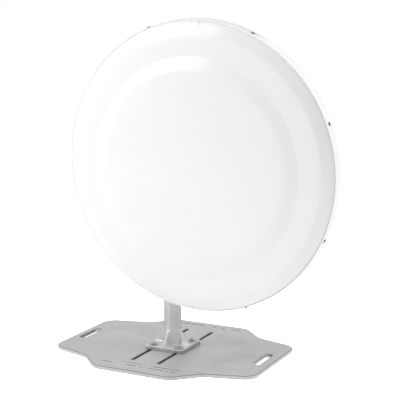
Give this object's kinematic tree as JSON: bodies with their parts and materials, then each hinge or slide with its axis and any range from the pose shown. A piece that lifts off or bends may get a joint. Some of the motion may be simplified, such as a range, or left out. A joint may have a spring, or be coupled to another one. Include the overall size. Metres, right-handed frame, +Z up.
{
  "type": "parabolic dish antenna on a floor stand",
  "caption": "Radome-covered parabolic dish antenna, tilted on a bracket clamped to a gusseted post that stands on a flat carried base plate.",
  "frame": {"origin": "on the ground under the middle of the base plate", "axes": "+X along the base plate towards the dish's side, +Y backward so that the dish looks along -Y, +Z up"},
  "size_m": [1.1331, 0.6667, 1.219],
  "materials": {
    "plate_steel": "matt light grey plate with fine wear",
    "galvanised_steel": "dull galvanised",
    "zinc_bolts": "zinc plated",
    "radome_plastic": "smooth white with a soft gloss",
    "painted_aluminium": "spun aluminium with a white powder coat",
    "dark_screws": "blackened",
    "cast_aluminium": "as cast, fine grain",
    "black_plastic": "moulded, matt"
  },
  "bodies": {
    "root": {"base_plate": "plate_steel", "clamp_rod_high_left": "zinc_bolts", "clamp_rod_high_right": "zinc_bolts", "clamp_rod_low_left": "zinc_bolts", "clamp_rod_low_right": "zinc_bolts", "feed_boss": "cast_aluminium", "foot_bolt_back_left": "zinc_bolts", "foot_bolt_back_right": "zinc_bolts", "foot_bolt_front_left": "zinc_bolts", "foot_bolt_front_right": "zinc_bolts", "foot_flange": "galvanised_steel", "front_jaw_high": "cast_aluminium", "front_jaw_low": "cast_aluminium", "gusset_back": "galvanised_steel", "gusset_front": "galvanised_steel", "gusset_left": "galvanised_steel", "gusset_right": "galvanised_steel", "hub_bolt_high_left": "zinc_bolts", "hub_bolt_high_right": "zinc_bolts", "hub_bolt_low_left": "zinc_bolts", "hub_bolt_low_right": "zinc_bolts", "hub_plate": "cast_aluminium", "hub_ring": "cast_aluminium", "lock_bolt": "zinc_bolts", "pivot_bolt": "zinc_bolts", "post": "galvanised_steel", "post_bracket": "galvanised_steel", "post_cap": "black_plastic", "radome": "radome_plastic", "rear_jaw_high": "cast_aluminium", "rear_jaw_low": "cast_aluminium", "reflector": "painted_aluminium", "rim_band": "painted_aluminium", "rim_ring": "painted_aluminium", "rim_screw_1": "dark_screws", "rim_screw_2": "dark_screws", "rim_screw_3": "dark_screws", "rim_screw_4": "dark_screws", "rim_screw_5": "dark_screws", "rim_screw_6": "dark_screws", "rim_screw_7": "dark_screws", "rim_screw_8": "dark_screws", "tilt_bracket": "galvanised_steel"}
  },
  "joints": []
}
